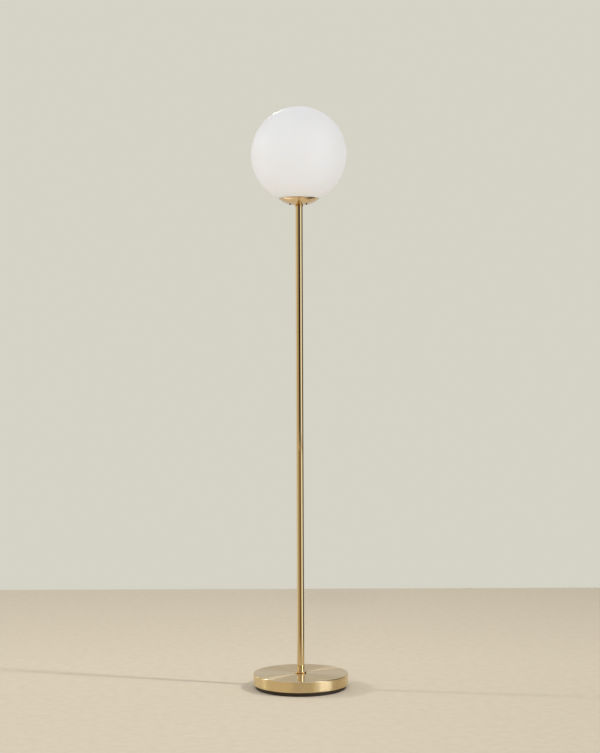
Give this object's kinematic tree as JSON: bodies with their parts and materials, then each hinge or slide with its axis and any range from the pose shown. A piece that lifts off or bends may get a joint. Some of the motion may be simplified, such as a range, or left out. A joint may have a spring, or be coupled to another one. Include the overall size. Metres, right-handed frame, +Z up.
{
  "type": "globe floor lamp",
  "caption": "Floor lamp with an opal glass globe in a shallow brass dish on a straight sectioned brass stem, with a round weighted brass base on a black foot.",
  "frame": {"origin": "on the floor, under the axis of the stem", "axes": "+Z up along the stem, +Y to the back, where the cord outlet is, +X to the right seen from the front"},
  "size_m": [0.25, 0.2509, 1.5177],
  "materials": {
    "brushed_brass": "circular brushed, lacquered",
    "polished_brass": "polished, lacquered",
    "dish_brass": "spun, satin polished",
    "turned_brass": "as turned",
    "cast_iron": "as cast, blackened",
    "black_moulding": "satin moulded",
    "black_rubber": "matt",
    "black_steel": "black oxide",
    "zinc_steel": "zinc plated",
    "spring_steel": "bright rolled",
    "clear_silicone": "translucent matt",
    "opal_glass": "matt opal, etched outside",
    "holder_moulding": "satin moulded",
    "porcelain": "glazed",
    "contact_brass": "bright rolled",
    "bulb_nickel": "nickel plated",
    "bulb_black": "gloss",
    "bulb_white": "satin moulded",
    "bulb_opal": "satin opal",
    "board_aluminium": "white coated"
  },
  "bodies": {
    "stand": {"base_cover": "brushed_brass", "base_weight": "cast_iron", "foot_plate": "black_moulding", "foot_ring": "black_rubber", "foot_screws": "black_steel", "cord_bush": "black_moulding", "stem_collar": "polished_brass", "base_nipple": "zinc_steel", "base_washer": "zinc_steel", "base_nut": "zinc_steel", "lower_tube": "polished_brass", "lower_tube_foot_bush": "turned_brass", "lower_tube_top_bush": "turned_brass", "middle_tube": "polished_brass", "middle_tube_foot_bush": "turned_brass", "middle_tube_top_bush": "turned_brass", "upper_tube": "polished_brass", "upper_tube_foot_bush": "turned_brass", "upper_tube_top_bush": "turned_brass", "lower_joint_nipple": "zinc_steel", "upper_joint_nipple": "zinc_steel", "head_nipple": "zinc_steel", "dish_collar": "polished_brass", "dish": "dish_brass", "dish_washer": "zinc_steel", "dish_nut": "zinc_steel", "globe_clips": "spring_steel", "clip_screws": "black_steel", "clip_nuts": "zinc_steel", "seat_ring": "clear_silicone", "holder_cap": "holder_moulding", "holder_lock_screw": "zinc_steel", "holder_core": "porcelain", "terminal_screws": "contact_brass", "screw_shell": "contact_brass", "centre_contact": "contact_brass", "holder_shell": "holder_moulding"},
    "globe": {"globe": "opal_glass"},
    "bulb": {"bulb_tip": "bulb_nickel", "bulb_insulator": "bulb_black", "bulb_cap": "bulb_nickel", "bulb_body": "bulb_white", "bulb_board": "board_aluminium", "bulb_dome": "bulb_opal"}
  },
  "joints": [
    {"name": "globe_lift", "type": "slide", "parent": "stand", "child": "globe", "axis": [0, 0, 1], "range_m": [0, 0.15]},
    {"name": "bulb_out", "type": "slide", "parent": "stand", "child": "bulb", "axis": [0, 0, 1], "range_m": [0, 0.03]}
  ]
}
